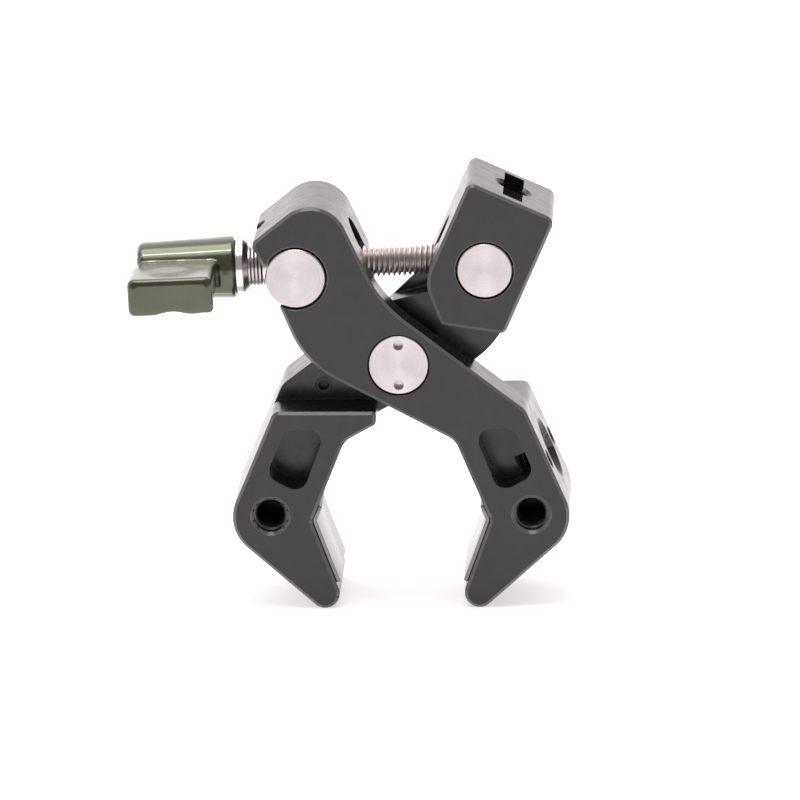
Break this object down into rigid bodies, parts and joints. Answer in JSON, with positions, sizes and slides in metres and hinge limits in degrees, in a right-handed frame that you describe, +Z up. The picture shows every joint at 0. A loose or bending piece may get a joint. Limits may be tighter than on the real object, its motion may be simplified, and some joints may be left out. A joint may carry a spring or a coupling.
{
  "type": "super clamp",
  "caption": "Scissor clamp for rods and tubes, with a ratchet lever screw, padded jaws and tapped accessory holes.",
  "frame": {"origin": "on the arms' pivot axis, at mid-width of the clamp", "axes": "+Z up, +X towards the right jaw, front of the clamp faces -Y"},
  "size_m": [0.0825, 0.0325, 0.0822],
  "materials": {
    "arm_metal": "black anodised, fine bead-blast",
    "lever_metal": "olive-grey anodised, satin",
    "steel": "turned and polished",
    "screw_steel": "stainless, rolled thread",
    "spring_steel": "satin",
    "chrome": "polished",
    "black_steel": "black oxide",
    "bronze": "sintered, oiled",
    "bearing_plastic": "natural",
    "black_plastic": "matte",
    "pad": "matte, bonded strip"
  },
  "bodies": {
    "front_arm": {"front_arm": "arm_metal", "right_jaw_pad": "pad", "pivot_bolt": "steel", "pivot_nut": "steel", "thrust_washer": "bearing_plastic"},
    "rear_arm": {"rear_arm": "arm_metal", "left_jaw_pad": "pad", "pivot_bush": "bronze", "stop_screw": "black_steel"},
    "swivel": {"swivel_barrel": "steel", "seat_washer": "steel"},
    "screw": {"clamp_screw": "screw_steel", "lever_insert": "steel", "lever_screw": "black_steel", "lever_spring": "spring_steel", "retaining_collar": "steel", "collar_pin": "steel", "flange_washer": "chrome", "dome_washer": "steel", "disc_springs": "spring_steel", "hub_ring": "black_plastic"},
    "lever": {"lever": "lever_metal"},
    "nut_barrel": {"nut_barrel": "steel"}
  },
  "joints": [
    {"name": "jaw_pivot", "type": "hinge", "parent": "front_arm", "child": "rear_arm", "pos_m": [0, 0, 0], "axis": [0, 1, 0], "range_deg": [-28.6, 20.6]},
    {"name": "swivel_tilt", "type": "hinge", "parent": "front_arm", "child": "swivel", "pos_m": [-0.0192, 0, 0.01687], "axis": [0, 1, 0], "range_deg": [-13.7, 9.9]},
    {"name": "nut_tilt", "type": "hinge", "parent": "rear_arm", "child": "nut_barrel", "pos_m": [0.0165, 0, 0.0181], "axis": [0, 1, 0], "range_deg": [-10.9, 15.1]},
    {"name": "screw_spin", "type": "hinge", "parent": "swivel", "child": "screw", "pos_m": [-0.0192, 0, 0.01687], "axis": [0.9994, 0, 0.0344], "range_deg": [-2320, 3226]},
    {"name": "lever_lift", "type": "slide", "parent": "screw", "child": "lever", "axis": [-0.9994, 0, -0.0344], "range_m": [0, 0.003], "deforming": ["lever_spring"]}
  ],
  "couplings": [
    {"joint": "jaw_pivot", "follows": "screw_spin", "ratio": -0.0088464},
    {"joint": "swivel_tilt", "follows": "screw_spin", "ratio": -0.0042198},
    {"joint": "nut_tilt", "follows": "screw_spin", "ratio": 0.0046267}
  ]
}
